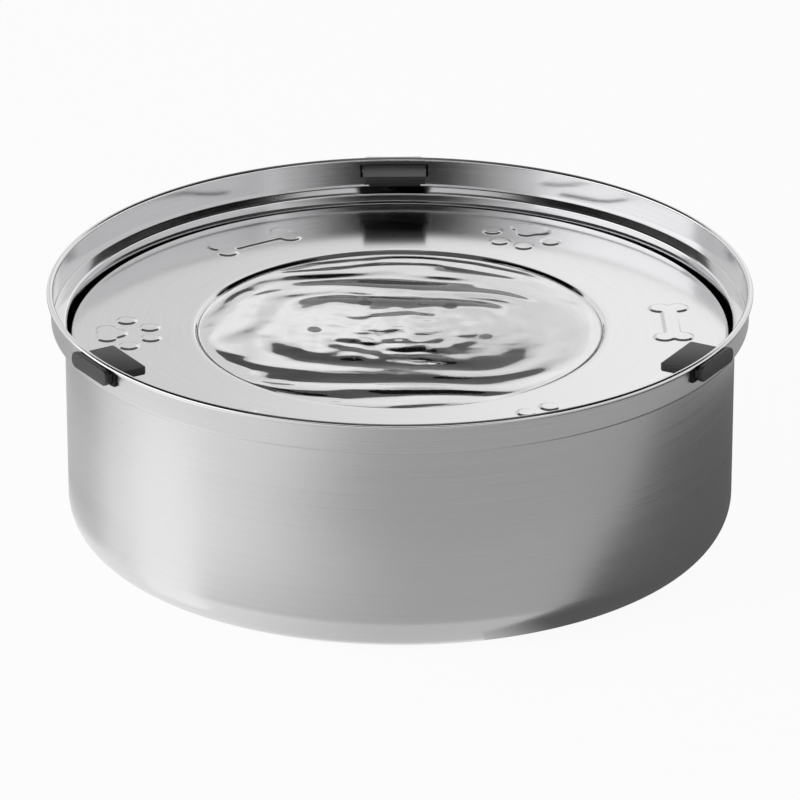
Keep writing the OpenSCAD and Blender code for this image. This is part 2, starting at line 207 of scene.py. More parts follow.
def shell_profile(s):
    """Outer face of the bowl's sheet, from the base recess to the rolled bead."""
    collar_r = collar_radius(s)
    body_r = collar_r - s.ledge_w
    ledge_z = s.height - s.collar_h
    rise = ledge_z - s.base_z - s.corner_r
    lean = atan(s.draft / rise)
    base_corner = (body_r - rise * tan(lean) - s.corner_r / cos(lean), s.base_z + s.corner_r)
    ledge_bend = (body_r + s.ledge_bend_r, ledge_z - s.ledge_fall - s.ledge_bend_r)
    collar_corner = (collar_r - s.collar_corner_r, ledge_z + s.collar_corner_r)
    bead = (s.rim_r - s.bead_r, s.height - s.bead_r)
    seat_z = s.base_z + s.recess_h
    path = ([(0, seat_z), (s.recess_r, seat_z), (s.recess_r + s.recess_h, s.base_z)]
            + arc(base_corner, s.corner_r, -90, -degrees(lean), 24)
            + arc(ledge_bend, s.ledge_bend_r, 180, 90, 8)
            + arc(collar_corner, s.collar_corner_r, -90, 0, 10)
            + [(collar_r, s.slot_low), (collar_r, s.slot_high), (collar_r, s.height - s.bead_r)]
            + arc(bead, s.bead_r - s.sheet, 180, -95, 28)[1:])
    return supported(path, near=0.25 * MM, step=4 * MM)


def dish_depth(s, r):
    """Depth of the dish's surface below the disk's flat band."""
    floor_r = s.dish_r - s.step_w
    if r >= s.dish_r:
        return 0
    if r >= floor_r:
        return s.step_h * (1 - cos(pi * (s.dish_r - r) / s.step_w)) / 2
    return s.step_h + (s.dish_deep - s.step_h) * (1 + cos(pi * r / floor_r)) / 2


# Stamped figures: the distance from their outline, with +X pointing away from the bowl's axis

# Bones and paws together
FIGURES = 6
# A bone: half its length and width, the radius of its four knuckles and how far they lie off its middle
BONE_HALF_L = 14.4 * MM
BONE_HALF_W = 3.1 * MM
KNUCKLE_R = 4.1 * MM
KNUCKLE_OFF = 3.5 * MM
# How far inner corners are rounded, between two knuckles and elsewhere
KNUCKLE_ROUND = 0.8 * MM
FIGURE_ROUND = 1.2 * MM
# The circles of a paw, as X, Y and radius; those off its middle line are there on both sides
PAW_HEEL = (8.2 * MM, 4.2 * MM, 3.9 * MM)
PAW_MIDDLE = (7 * MM, 0, 5.2 * MM)
PAW_FRONT = (4.4 * MM, 0, 3.9 * MM)
PAW_TOES = ((0.2 * MM, 12.6 * MM, 3.8 * MM), (-8.4 * MM, 5.2 * MM, 3.8 * MM))
# How much of a stamped edge's rise lies outside the figure's outline
RISE_OUTSIDE = 0.3


def circle_distance(x, y, cx, cy, r):
    return hypot(x - cx, y - cy) - r


def blend_min(a, b, k):
    """The smaller of two distances, with the inner corner between them rounded over k."""
    h = max(0, min(1, 0.5 + 0.5 * (b - a) / k))
    return b + (a - b) * h - k * h * (1 - h)


def bone_distance(x, y):
    """Distance from the outline of a bone that lies along Y."""
    x, y = abs(x), abs(y)
    shank = max(x - BONE_HALF_W, y - BONE_HALF_L)
    knuckles = [circle_distance(x, y, off, BONE_HALF_L, KNUCKLE_R) for off in (KNUCKLE_OFF, -KNUCKLE_OFF)]
    return blend_min(shank, blend_min(*knuckles, KNUCKLE_ROUND), FIGURE_ROUND)


def paw_distance(x, y):
    """Distance from the outlines of a paw whose toes point to the bowl's axis."""
    y = abs(y)
    pad = circle_distance(x, y, *PAW_HEEL)
    for part in (PAW_MIDDLE, PAW_FRONT):
        pad = blend_min(pad, circle_distance(x, y, *part), FIGURE_ROUND)
    return min(pad, *(circle_distance(x, y, *toe) for toe in PAW_TOES))


def stamping(s, x, y):
    """Height of the stamped figures at a point of the disk's flat band: bones and paws by turns."""
    apart = 2 * pi / FIGURES
    turn = (atan2(y, x) - s.motif_az) % (2 * pi)
    index = round(turn / apart)
    away = turn - index * apart
    r = hypot(x, y)
    distance = (paw_distance if index % 2 else bone_distance)(r * cos(away) - s.motif_r, r * sin(away))
    t = max(0, min(1, RISE_OUTSIDE - distance / s.emboss_edge))
    return s.figure_h * t * t * (3 - 2 * t)


# Meshes

def add_object(name, data):
    """A new object in the scene."""
    thing = bpy.data.objects.new(name, data)
    bpy.context.scene.collection.objects.link(thing)
    return thing


class Skin:
    """Points and faces of one piece, gathered ring by ring."""

    def __init__(self):
        self.points = []
        self.faces = []
        self.finish = []

    def point(self, x, y, z):
        self.points.append((x, y, z))
        return len(self.points) - 1

    def ring(self, r, z, angles):
        """A ring of points; z is a height or a function of x and y."""
        if r == 0:
            return [self.point(0, 0, z(0, 0) if callable(z) else z)] * len(angles)
        spots = [(r * cos(a), r * sin(a)) for a in angles]
        return [self.point(x, y, z(x, y) if callable(z) else z) for x, y in spots]

    def face(self, corners, finish=0):
        """A face, unless its corners fall together."""
        corners = list(dict.fromkeys(corners))
        if len(corners) > 2:
            self.faces.append(corners)
            self.finish.append(finish)

    def band(self, a, b, finish=0, skip=()):
        """Faces between two rings; where one has more points, its short sides are shared out evenly."""
        count = min(len(a), len(b))
        part_a, part_b = len(a) // count, len(b) // count
        for i in range(count):
            if i not in skip:
                side_a = [a[(i * part_a + k) % len(a)] for k in range(part_a + 1)]
                side_b = [b[(i * part_b + k) % len(b)] for k in range(part_b + 1)]
                self.face(side_a + side_b[::-1], finish)

    def sweep(self, last, path, angles):
        """Faces from a ring through a ring at each radius and height of a path; returns the last."""
        for r, z in path:
            ring = self.ring(r, z, angles)
            self.band(last, ring)
            last = ring
        return last

    def build(self, name, materials, sharp=40):
        """The piece, with its faces turned outwards; edges over the sharp angle, in degrees, stay crisp."""
        mesh = bpy.data.meshes.new(name)
        mesh.from_pydata(self.points, [], self.faces)
        mesh.polygons.foreach_set("material_index", self.finish)
        work = bmesh.new()
        work.from_mesh(mesh)
        bmesh.ops.recalc_face_normals(work, faces=work.faces)
        work.to_mesh(mesh)
        work.free()
        for material in materials:
            mesh.materials.append(material)
        mesh.shade_smooth()
        mesh.set_sharp_from_angle(angle=radians(sharp))
        return add_object(name, mesh)


# Materials

# A polishing belt's lines are under 0.1 mm wide; they are drawn this wide so that they show
BELT_LINE = 0.7 * MM
SHEET_LINE = 0.6 * MM
# The grain of a spark-eroded mould is about 0.05 mm wide, and is drawn coarser for the same reason
FINE_GRAIN = 0.5 * MM
SOFT_GRAIN = 0.6 * MM
OPEN_GRAIN = 0.8 * MM
# Nearly all of a noise texture's values lie between these two
NOISE_LOW, NOISE_HIGH = 0.3, 0.7
# How far roughness goes up and down with a pattern, as shares of itself
ROUGH_LOW, ROUGH_HIGH = 0.9, 1.1


def add_node(tree, kind, inputs=None, **settings):
    """A node with its settings; each input is a value or the socket that feeds it."""
    node = tree.nodes.new(kind)
    for name, value in settings.items():
        setattr(node, name, value)
    for name, value in (inputs or {}).items():
        if isinstance(value, bpy.types.NodeSocket):
            tree.links.new(value, node.inputs[name])
        else:
            node.inputs[name].default_value = value
    return node


def new_material(name):
    """An empty material; returns it with its node tree and its output node."""
    material = bpy.data.materials.new(name)
    material.use_nodes = True
    material.node_tree.nodes.clear()
    return material, material.node_tree, add_node(material.node_tree, "ShaderNodeOutputMaterial")


def turned_lines(tree, pitch, run):
    """Noise drawn out along rings round the Z axis: pitch across the lines, run along them."""
    place = add_node(tree, "ShaderNodeTexCoord").outputs["Object"]
    axes = add_node(tree, "ShaderNodeSeparateXYZ", {0: place}).outputs
    flat = add_node(tree, "ShaderNodeCombineXYZ", {"X": axes["X"], "Y": axes["Y"]}).outputs[0]
    radius = add_node(tree, "ShaderNodeVectorMath", {0: flat}, operation="LENGTH").outputs["Value"]
    across = add_node(tree, "ShaderNodeMath", {0: radius, 1: axes["Z"]}, operation="ADD").outputs[0]
    x, y, z = [add_node(tree, "ShaderNodeMath", {0: value, 1: 1 / size}, operation="MULTIPLY").outputs[0]
               for value, size in ((axes["X"], run), (axes["Y"], run), (across, pitch))]
    lines = add_node(tree, "ShaderNodeCombineXYZ", {"X": x, "Y": y, "Z": z}).outputs[0]
    return add_node(tree, "ShaderNodeTexNoise", {
        "Vector": lines, "Scale": 1, "Detail": 4, "Roughness": 0.6,
    }).outputs["Fac"]


def spread(tree, value, low, high):
    """A noise value, spread from low to high."""
    return add_node(tree, "ShaderNodeMapRange", {
        "Value": value, "From Min": NOISE_LOW, "From Max": NOISE_HIGH, "To Min": low, "To Max": high,
    }).outputs["Result"]


def tinted(tree, value, base, low, high):
    """The base colour, made darker or lighter by a noise value."""
    level = spread(tree, value, low, high)
    return add_node(tree, "ShaderNodeVectorMath", {0: base, "Scale": level}, operation="SCALE").outputs[0]


def steel(name, base, roughness, anisotropy, pitch, run, relief):
    """Stainless steel with fine lines round the axis, as a belt leaves them on turning work.

    The lines' width, length and depth are pitch, run and relief.
    """
    material, tree, output = new_material(name)
    lines = turned_lines(tree, pitch, run)
    bump = add_node(tree, "ShaderNodeBump", {"Height": lines, "Strength": 0.35, "Distance": relief})
    tangent = add_node(tree, "ShaderNodeTangent", direction_type="RADIAL", axis="Z")
    shader = add_node(tree, "ShaderNodeBsdfPrincipled", {
        "Base Color": tinted(tree, lines, base, low=0.97, high=1.03),
        "Metallic": 1,
        "Roughness": spread(tree, lines, roughness * ROUGH_LOW, roughness * ROUGH_HIGH),
        "Anisotropic": anisotropy,
        "Tangent": tangent.outputs[0],
        "Normal": bump.outputs[0],
    })
    tree.links.new(shader.outputs[0], output.inputs["Surface"])
    return material


def moulded_plastic(name, base, roughness, grain, relief, index=1.5):
    """Moulded plastic: an even colour and the grain of a spark-eroded mould."""
    material, tree, output = new_material(name)
    place = add_node(tree, "ShaderNodeTexCoord").outputs["Object"]
    fine = add_node(tree, "ShaderNodeTexNoise", {
        "Vector": place, "Scale": 1 / grain, "Detail": 2,
    }).outputs["Fac"]
    bump = add_node(tree, "ShaderNodeBump", {"Height": fine, "Strength": 0.5, "Distance": relief})
    shader = add_node(tree, "ShaderNodeBsdfPrincipled", {
        "Base Color": tinted(tree, fine, base, low=0.92, high=1.08),
        "Roughness": spread(tree, fine, roughness * ROUGH_LOW, roughness * ROUGH_HIGH),
        "IOR": index,
        "Normal": bump.outputs[0],
    })
    tree.links.new(shader.outputs[0], output.inputs["Surface"])
    return material


def shell_finishes(tones):
    """The three finishes of the bowl's sheet: outer wall, bead and inside, and the collar's inside."""
    # Belt-brushed as the bowl turns: soft reflections, drawn out along fine rings
    brushed = steel("brushed_stainless_steel", tones.drawn_steel, roughness=0.3, anisotropy=0.6,
                    pitch=BELT_LINE, run=110 * MM, relief=0.004 * MM)
    # Left as drawn and buffed: clear reflections with crisp dark and light lines
    bright = steel("bright_drawn_steel", tones.bright_steel, roughness=0.09, anisotropy=0.2,
                   pitch=BELT_LINE, run=60 * MM, relief=0.0005 * MM)
    # Buffed less, where the collar was rolled out: reflections lose their edges
    satin = steel("satin_drawn_steel", tones.bright_steel, roughness=0.14, anisotropy=0.3,
                  pitch=BELT_LINE, run=60 * MM, relief=0.0005 * MM)
    return [brushed, bright, satin]


def disk_finishes(tones):
    """The two finishes of the disk's sheet: dry band and dish under water."""
    # Polished sheet, stamped after: a soft mirror with a faint grain
    polished = steel("polished_stamped_steel", tones.bright_steel, roughness=0.15, anisotropy=0.2,
                     pitch=SHEET_LINE, run=30 * MM, relief=0.0012 * MM)
    # The same sheet with its grain filled by water: a clear mirror that only the ripples bend
    wetted = steel("wetted_stamped_steel", tones.bright_steel, roughness=0.045, anisotropy=0,
                   pitch=SHEET_LINE, run=30 * MM, relief=0.0005 * MM)
    return [polished, wetted]


def latch_finishes(tones):
    """The finishes of the latches: tongues and grips, and guides."""
    # ABS takes a mould's grain well: black with a soft, even sheen on its edges
    abs_black = moulded_plastic("moulded_black_abs", tones.black_abs, roughness=0.45,
                                grain=FINE_GRAIN, relief=0.02 * MM, index=1.54)
    # Acetal is waxy and deep black; its index is under the real 1.48, as it hardly shines in its slot
    acetal = moulded_plastic("moulded_black_acetal", tones.black_acetal, roughness=0.6,
                             grain=FINE_GRAIN, relief=0.01 * MM, index=1.3)
    return abs_black, acetal


def float_finish(tones):
    # Polypropylene is milky and a little greasy: white with a broad, weak highlight
    return moulded_plastic("moulded_white_polypropylene", tones.white_pp, roughness=0.35,
                           grain=OPEN_GRAIN, relief=0.01 * MM)


def pad_finish(tones):
    # Silicone is matt: dark grey, with next to no highlight
    return moulded_plastic("moulded_silicone", tones.grey_silicone, roughness=0.7,
                           grain=SOFT_GRAIN, relief=0.03 * MM)


def water_finish():
    """Clear water: nothing to the eye but its refraction and the ripples in the mesh."""
    material, tree, output = new_material("clear_water")
    shader = add_node(tree, "ShaderNodeBsdfPrincipled", {
        "Base Color": (1, 1, 1, 1), "Roughness": 0, "IOR": 1.333, "Transmission Weight": 1,
    })
    tree.links.new(shader.outputs[0], output.inputs["Surface"])
    return material


# Bowl shell

# The shell's finishes, in the order that shell_finishes gives them
BRUSHED, BRIGHT, SATIN = range(3)


def latch_directions(s):
    """Directions of the three latches, the back one first."""
    return [s.latch_az + i * 2 * pi / len(LATCH_SIDES) for i in range(len(LATCH_SIDES))]


def turn_between(a, b):
    """The turn from one direction to another, half a turn at most either way."""
    return (a - b + pi) % (2 * pi) - pi


def shell_spokes(s):
    """Directions of the mesh's points, with one on each slot's edge, and the panels in the slots."""
    half = (s.slot_w / 2) / s.rim_r
    latches = latch_directions(s)
    edges = [latch + side * half for latch in latches for side in (-1, 1)]
    step = 2 * pi / s.spokes
    plain = [i * step for i in range(s.spokes)]
    plain = [a for a in plain if min(abs(turn_between(a, edge)) for edge in edges) > step / 2]
    angles = sorted(plain + [edge % (2 * pi) for edge in edges])
    # A quarter of a step past its first point is inside each panel
    panels = {i for i, a in enumerate(angles)
              if any(abs(turn_between(a + step / 4, latch)) < half for latch in latches)}
    return angles, panels


def line_slots(skin, outside, inside, panels, rows):
    """Close the sheet's cut edges round the slots."""
    count = len(outside[0])
    for i in sorted(panels):
        after = (i + 1) % count
        for j in (rows[0], rows[-1] + 1):
            skin.face([outside[j][i], outside[j][after], inside[j][after], inside[j][i]], BRIGHT)
        for at, neighbour in ((i, (i - 1) % count), (after, after)):
            if neighbour not in panels:
                for j in rows:
                    skin.face([outside[j][at], outside[j + 1][at], inside[j + 1][at], inside[j][at]], BRIGHT)


class BOWL_OT_shell(bpy.types.Operator):
    """Spin the bowl's drawn steel shell, with its ledge, collar, bead and latch slots"""
    bl_idname = "bowl.shell"
    bl_label = "Bowl shell"

    def execute(self, context):
        s = context.scene.bowl_sizes
        outer = shell_profile(s)
        inner = beside(outer, s.sheet)
        angles, panels = shell_spokes(s)
        collar_in_r = s.rim_r - 2 * s.bead_r
        rows = [j for j, (low, high) in enumerate(zip(outer, outer[1:]))
                if s.slot_low - SLACK < low[1] < high[1] < s.slot_high + SLACK and low[0] > collar_in_r]
        skin = Skin()
        outside = [skin.ring(r, z, angles) for r, z in outer]
        inside = [skin.ring(r, z, angles) for r, z in inner]
        collar_r = collar_radius(s)
        for j in range(len(outer) - 1):
            cut = panels if j in rows else ()
            in_collar = min(outer[j][0], outer[j + 1][0]) > collar_r - SLACK
            skin.band(outside[j], outside[j + 1], BRIGHT if j > rows[-1] else BRUSHED, cut)
            skin.band(inside[j], inside[j + 1], SATIN if in_collar else BRIGHT, cut)
        skin.band(outside[-1], inside[-1], BRIGHT)
        line_slots(skin, outside, inside, panels, rows)
        piece = skin.build("steel_bowl", shell_finishes(context.scene.bowl_colours))
        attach(piece, "bowl")
        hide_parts("bowl_shell")
        return {"FINISHED"}


# Floating disk

# The disk's finishes, in the order that disk_finishes gives them
POLISHED, WETTED = range(2)
# Points round the disk, and how many times as many there are round the figures
DISK_SPOKES = 360
FIGURE_SPOKES = 4
# Distance between the rows of the dish's floor, and rows over the step's width
DISH_ROW = 1 * MM
STEP_ROWS = 12
# The dish's grid is left open round each hole, by so many rows and spokes to each side of its middle
BLOCK_ROWS = 6
BLOCK_SPOKES = 9
# Rings of points in such a block, as shares of the way from its edge to the hole
BLOCK_SHARES = (0.35, 0.65, 0.85, 1)
# Width of the plain ring between the dish and the figures' grid
SEAM_W = 2 * MM
# Rows of the figures' grid to each side of their circle, and the distance between rows
FIGURE_ROWS = 31
FIGURE_ROW = 0.5 * MM


def water_hole(s, skin, grid, middle_row, spoke, azimuth, height):
    """Rings of faces that close in on a hole in the block left open for it; returns the hole's edge."""
    low, high = middle_row - BLOCK_ROWS, middle_row + BLOCK_ROWS
    spokes = [(spoke + i) % DISK_SPOKES for i in range(-BLOCK_SPOKES, BLOCK_SPOKES + 1)]
    block = ([grid[low][i] for i in spokes]
             + [grid[j][spokes[-1]] for j in range(low + 1, high)]
             + [grid[high][i] for i in spokes[::-1]]
             + [grid[j][spokes[0]] for j in range(high - 1, low, -1)])
    middle = (s.hole_ring_r * cos(azimuth), s.hole_ring_r * sin(azimuth))
    last = block
    for share in BLOCK_SHARES:
        ring = []
        for corner in block:
            x, y = skin.points[corner][:2]
            goal = s.hole_r / hypot(x - middle[0], y - middle[1])
            x += (middle[0] + (x - middle[0]) * goal - x) * share
            y += (middle[1] + (y - middle[1]) * goal - y) * share
            ring.append(skin.point(x, y, height(x, y)))
        skin.band(last, ring, WETTED)
        last = ring
    return last


def holed_dish(s, skin, top_z, angles):
    """Both faces of the dish, with the water holes; returns the outer ring of each."""
    floor_r = s.dish_r - s.step_w
    radii = [i * DISH_ROW for i in range(round(floor_r / DISH_ROW))]
    radii += [floor_r + s.step_w * i / STEP_ROWS for i in range(STEP_ROWS + 1)]
    drops = (0, s.sheet)
    grids = [[skin.ring(r, top_z - dish_depth(s, r) - drop, angles) for r in radii] for drop in drops]
    apart = DISK_SPOKES // s.holes
    middle_row = round(s.hole_ring_r / DISH_ROW)
    open_rows = range(middle_row - BLOCK_ROWS, middle_row + BLOCK_ROWS)
    open_spokes = {(k * apart + i) % DISK_SPOKES for k in range(s.holes)
                   for i in range(-BLOCK_SPOKES, BLOCK_SPOKES)}
    for grid in grids:
        for j in range(len(radii) - 1):
            skin.band(grid[j], grid[j + 1], WETTED, open_spokes if j in open_rows else ())
    for k in range(s.holes):
        edges = [water_hole(s, skin, grid, middle_row, k * apart, angles[k * apart],
                            lambda x, y: top_z - dish_depth(s, hypot(x, y)) - drop)
                 for grid, drop in zip(grids, drops)]
        skin.band(edges[0], edges[1], WETTED)
    return [grid[-1] for grid in grids]


class BOWL_OT_disk(bpy.types.Operator):
    """Stamp the floating disk: band with bones and paws, dish with water holes, skirt and hem"""
    bl_idname = "bowl.disk"
    bl_label = "Floating disk"

    def execute(self, context):
        s = context.scene.disk_sizes
        top_z = DISK_HIGH.z - s.emboss_h
        low_z = DISK_LOW.z
        coarse = [s.hole_az + radians(i) for i in range(DISK_SPOKES)]
        fine = [s.hole_az + radians(i / FIGURE_SPOKES) for i in range(FIGURE_SPOKES * DISK_SPOKES)]
        seam = (s.dish_r + SEAM_W, top_z)
        figures = [(s.motif_r + i * FIGURE_ROW, lambda x, y: top_z + stamping(s, x, y))
                   for i in range(-FIGURE_ROWS, FIGURE_ROWS + 1)]
        rim = (arc((s.disk_r - s.edge_r, top_z - s.edge_r), s.edge_r, 90, 0, 14)
               + arc((s.disk_r - s.hem_r, low_z + s.hem_r), s.hem_r, 0, -90, 8)
               + [(s.disk_r - s.hem_w, low_z)])
        skin = Skin()
        top, under = holed_dish(s, skin, top_z, coarse)
        top = skin.sweep(top, [seam], coarse)
        top = skin.sweep(top, figures, fine)
        top = skin.sweep(top, rim, coarse)
        under = skin.sweep(under, beside([seam] + rim, -s.sheet), coarse)
        skin.band(top, under, POLISHED)
        piece = skin.build("steel_disk", disk_finishes(context.scene.bowl_colours))
        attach(piece, "disk")
        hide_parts("disk_plate")
        return {"FINISHED"}


# Water in the dish

# Spokes and rings of the surface's grid; the water's underside takes one ring of so many
WATER_SPOKES = 720
WATER_RINGS = 195
UNDERSIDE_EVERY = 3
# Step in which the water's edge is looked for
SHORE_STEP = 0.02 * MM
# How far the water reaches into the steel, so that no air shows between them
WATER_SUNK = 0.05 * MM
# How far the ripples' rings are squeezed in X, and where in its wave the middle is
RING_SQUEEZE = 0.74
RING_START = 0.7
# How far the rings wander, in radians of their wave; how much patches of them differ in height; and how
# high the chop is that takes their place in the middle, where the water wells up
WANDER = 3.6
PATCHES = 1.5
CHOP = 2.6
RINGS_LOST = 0.9
MIDDLE_R = 44 * MM
# The noise of each: its squeeze in X and Y, where it is cut, and how wide its bumps are; the noise of the
# wander is shifted along X too
WANDER_NOISE = ((1, 1.2), 15 * MM, 44 * MM)
WANDER_SHIFT = 40 * MM
PATCH_NOISE = ((0.7, 1.5), 130 * MM, 19 * MM)
CHOP_NOISE = ((1, 1.4), 40 * MM, 8.5 * MM)
# The ripples are calmer to the right of this line, by a share that is reached over a run
CALM_FROM = 10 * MM
CALM_RUN = 50 * MM
CALM_SHARE = 0.7
# They die out over this run before the step; troughs take at most this share of the water's depth, and
# crests at most this many times the ripples' height
SHORE_RUN = 4 * MM
DEPTH_SHARE = 0.75
CREST_MOST = 2


def limited(value):
    """The value, kept between nought and one."""
    return min(1, max(0, value))


def drift(x, y, squeeze, layer, size):
    """Smooth noise with bumps of about a size, squeezed in X and Y and cut at a layer."""
    return noise.noise(Vector((squeeze[0] * x, squeeze[1] * y, layer)) / size)


def ripple(s, x, y):
    """Height of the ripples: flattened rings that wander and break up towards the middle."""
    r = hypot(x, y)
    room = DEPTH_SHARE * max(0, dish_depth(s, r) - s.water_deep)
    fade = limited((s.dish_r - s.step_w - r) / SHORE_RUN)
    calm = 1 - CALM_SHARE * limited((x - CALM_FROM) / CALM_RUN)
    ring = hypot(RING_SQUEEZE * x, y)
    wander = WANDER * drift(x - WANDER_SHIFT, y, *WANDER_NOISE)
    swell = cos(2 * pi * ring / s.ripple_l - RING_START + wander)
    patchy = 1 + PATCHES * drift(x, y, *PATCH_NOISE)
    middle = max(0, 1 - ring / MIDDLE_R)
    broken = drift(x, y, *CHOP_NOISE)
    height = s.ripple_h * calm * ((1 - RINGS_LOST * middle) * patchy * swell + CHOP * middle * broken)
    return fade * max(-room, min(s.ripple_h * CREST_MOST, height))


class BOWL_OT_water(bpy.types.Operator):
    """Pour the thin, rippled water that has welled up into the dish"""
    bl_idname = "bowl.water"
    bl_label = "Water in the dish"

    def execute(self, context):
        s = context.scene.disk_sizes
        top_z = DISK_HIGH.z - s.emboss_h
        level = top_z - s.water_deep
        # The shore is where the step of the dish comes up through the water's level
        shore = s.dish_r - s.step_w
        while dish_depth(s, shore) > s.water_deep:
            shore += SHORE_STEP
        spokes = [radians(360 * i / WATER_SPOKES) for i in range(WATER_SPOKES)]
        rings = [shore * i / WATER_RINGS for i in range(WATER_RINGS + 1)]
        skin = Skin()
        surface = [skin.ring(r, lambda x, y: level + ripple(s, x, y), spokes) for r in rings]
        underside = [skin.ring(r, top_z - dish_depth(s, r) - WATER_SUNK, spokes)
                     for r in rings[::UNDERSIDE_EVERY]]
        for sheet in (surface, underside):
            for a, b in zip(sheet, sheet[1:]):
                skin.band(a, b)
        skin.band(surface[-1], underside[-1])
        piece = skin.build("dish_water", [water_finish()], sharp=60)
        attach(piece, "disk")
        return {"FINISHED"}


# Slide latches

# CAD facets closer in angle than the first are merged, and edges over the second are rounded, in degrees
FACET_ANGLE = 1
MOULD_EDGE_ANGLE = 35
# Edges over this angle, in degrees, stay crisp in the latches' shading
CRISP_ANGLE = 50
# Mould radii of the latches' parts
TONGUE_EDGE_R = 0.25 * MM
GUIDE_EDGE_R = 0.12 * MM


def moulded_copy(node, name, material, edge_r, reshape=None):
    """A copy of a CAD piece with its sharp edges rounded, as a mould leaves them."""
    mesh = bpy.data.meshes.new(name)
    work = bmesh.new()
    work.from_mesh(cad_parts[node].data)
    bmesh.ops.remove_doubles(work, verts=work.verts, dist=2 * SLACK)
    if reshape:
        reshape(work)
    bmesh.ops.dissolve_limit(work, angle_limit=radians(FACET_ANGLE), verts=work.verts, edges=work.edges)
    sharp = [e for e in work.edges
             if len(e.link_faces) == 2 and e.calc_face_angle(0) > radians(MOULD_EDGE_ANGLE)]
    bmesh.ops.bevel(work, geom=sharp, offset=edge_r, segments=3, profile=0.5, affect="EDGES",
                    clamp_overlap=True)
    work.to_mesh(mesh)
    work.free()
    mesh.materials.append(material)
    mesh.shade_smooth()
    mesh.set_sharp_from_angle(angle=radians(CRISP_ANGLE))
    return add_object(name, mesh)


def narrow_flange(s, flange_r, az):
    """A change to a guide: its flange, past a radius, and its lip are drawn in to their widths."""
    across = Vector((-sin(az), cos(az), 0))

    def reshape(work):
        widest = max(abs(v.co.y * cos(az) - v.co.x * sin(az)) for v in work.verts)
        share = (s.flange_w / 2 - s.flange_from) / (widest - s.flange_from)
        for v in work.verts:
            along = v.co.y * cos(az) - v.co.x * sin(az)
            side = 1 if along > 0 else -1
            if abs(along) > s.flange_from and hypot(v.co.x, v.co.y) > flange_r:
                v.co += side * (abs(along) - s.flange_from) * (share - 1) * across
            elif abs(along) > s.lip_to:
                v.co += side * (s.lip_to - abs(along)) * across
    return reshape


def rounded_outline(w, h, r):
    """Points of a rectangle with round corners."""
    points = []
    for x, y, start in ((1, 1, 0), (-1, 1, 90), (-1, -1, 180), (1, -1, 270)):
        points += arc((x * (w / 2 - r), y * (h / 2 - r)), r, start, start + 90, 6)
    return points


def grip_bar(s, name, material, box, rim_r, az):
    """The bar outside the rim: an outline with nearly round ends, and a soft outer edge."""
    low, high = box
    middle_z, h = (low.z + high.z) / 2, high.z - low.z
    back = rim_r + s.bar_gap
    front = back + s.bar_t
    back_edge_r = s.bar_edge_r / 3
    # Each section is a radius and how far its outline is drawn in
    sections = [(back, back_edge_r), (back + back_edge_r, 0)]
    sections += [(front - s.bar_edge_r * (1 - sin(radians(a))), s.bar_edge_r * (1 - cos(radians(a))))
                 for a in range(0, 91, 15)]
    skin = Skin()
    rings = []
    for r, inset in sections:
        outline = rounded_outline(s.bar_l - 2 * inset, h - 2 * inset, s.bar_corner_r - inset)
        rings.append([skin.point(r * cos(az) - t * sin(az), r * sin(az) + t * cos(az), middle_z + z)
                      for t, z in outline])
    for a, b in zip(rings, rings[1:]):
        skin.band(a, b)
    skin.face(rings[0])
    skin.face(rings[-1])
    return skin.build(name, [material], sharp=CRISP_ANGLE)


class BOWL_OT_latches(bpy.types.Operator):
    """Round the edges of the three slide latches and give them their moulded finish"""
    bl_idname = "bowl.latches"
    bl_label = "Slide latches"

    def execute(self, context):
        shell = context.scene.bowl_sizes
        s = context.scene.latch_sizes
        abs_black, acetal = latch_finishes(context.scene.bowl_colours)
        # The flange lies against the collar's outside, so all past a hair inside it belongs to the flange
        flange_r = collar_radius(shell) - 0.1 * MM
        for side, az in zip(LATCH_SIDES, latch_directions(shell)):
            made = {
                "tongue": moulded_copy(f"{side}_latch_tongue", f"{side}_tongue_moulding", abs_black,
                                       TONGUE_EDGE_R),
                "grip": grip_bar(s, f"{side}_grip_moulding", abs_black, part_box(f"{side}_latch_grip"),
                                 shell.rim_r, az),
                "guide": moulded_copy(f"{side}_latch_guide", f"{side}_guide_moulding", acetal,
                                      GUIDE_EDGE_R, narrow_flange(s, flange_r, az)),
            }
            for part, piece in made.items():
                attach(piece, "bowl" if part == "guide" else f"{side}_latch")
                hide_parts(f"{side}_latch_{part}")
        return {"FINISHED"}


# Float and pad, which keep their CAD shapes

def dress_node(node, material):
    """Give a CAD piece its material, on every slot."""
    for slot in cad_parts[node].material_slots:
        slot.material = material


class BOWL_OT_float(bpy.types.Operator):
    """Give the float ring under the disk its moulded finish"""
    bl_idname = "bowl.float"
    bl_label = "Float ring"

    def execute(self, context):
        white = float_finish(context.scene.bowl_colours)
        for node in ("float_cover", "float_tray"):
            dress_node(node, white)
        return {"FINISHED"}


class BOWL_OT_pad(bpy.types.Operator):
    """Give the pad under the base its silicone finish"""
    bl_idname = "bowl.pad"
    bl_label = "Base pad"

    def execute(self, context):
        dress_node("base_pad", pad_finish(context.scene.bowl_colours))
        return {"FINISHED"}


# Studio

# Half the width of the set, and the height of its dark ceiling
SET_X = 1.3
CEILING_Z = 1.1
# Distance between cards that hang one under another
CARD_GAP = 0.01
# The floor is this far under the pad, and the cards of painted light and shade on it lie this far over each
# other
PAPER = 0.1 * MM
FLOOR_HALF = 12
# Inner radius of the rings of painted light and shade that go round the bowl's foot
FOOT_R = 0.119
# Strength of the world's light on matt surfaces, and how much the paper floor glows where it is seen
FILL = 0.45
FLOOR_GLOW = 0.94
# Tones of the cards: 0.003 is black in a mirror, and 1 is white
BLACK = 0.003
OFF_BLACK = 0.01
# The camera: how far it looks down, the height that it aims at, how far off it is, its sensor and lens
VIEW_DOWN = radians(22.9)
VIEW_HEIGHT = 52.3 * MM
VIEW_DISTANCE = 5
SENSOR_MM = 36
LENS_MM = 586.7


